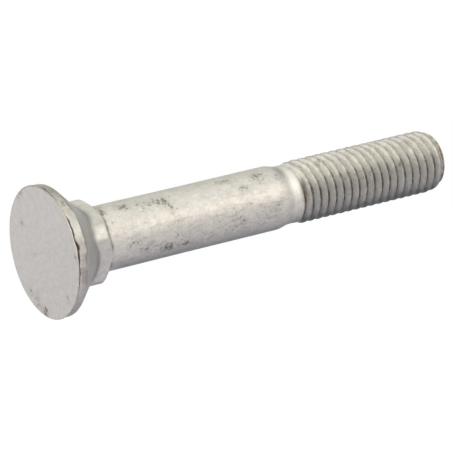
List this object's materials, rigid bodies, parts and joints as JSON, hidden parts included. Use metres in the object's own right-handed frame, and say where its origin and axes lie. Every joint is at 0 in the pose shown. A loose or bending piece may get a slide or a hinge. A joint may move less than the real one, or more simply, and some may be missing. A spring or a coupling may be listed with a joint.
{
  "type": "plow bolt",
  "caption": "Forged plow bolt: flat countersunk head, square neck, plain shank and coarse rolled thread, dull zinc coated.",
  "frame": {"origin": "centre of the flat head face, on the surface that the bolt stands on", "axes": "+Z along the bolt's axis, from the head to the threaded point; the flats of the square neck face X and Y"},
  "size_m": [0.0242, 0.0242, 0.085],
  "materials": {
    "zinc_coat": "matt zinc coating, mottled grey with small dark stains"
  },
  "bodies": {
    "root": {"plow_bolt": "zinc_coat"}
  },
  "joints": []
}
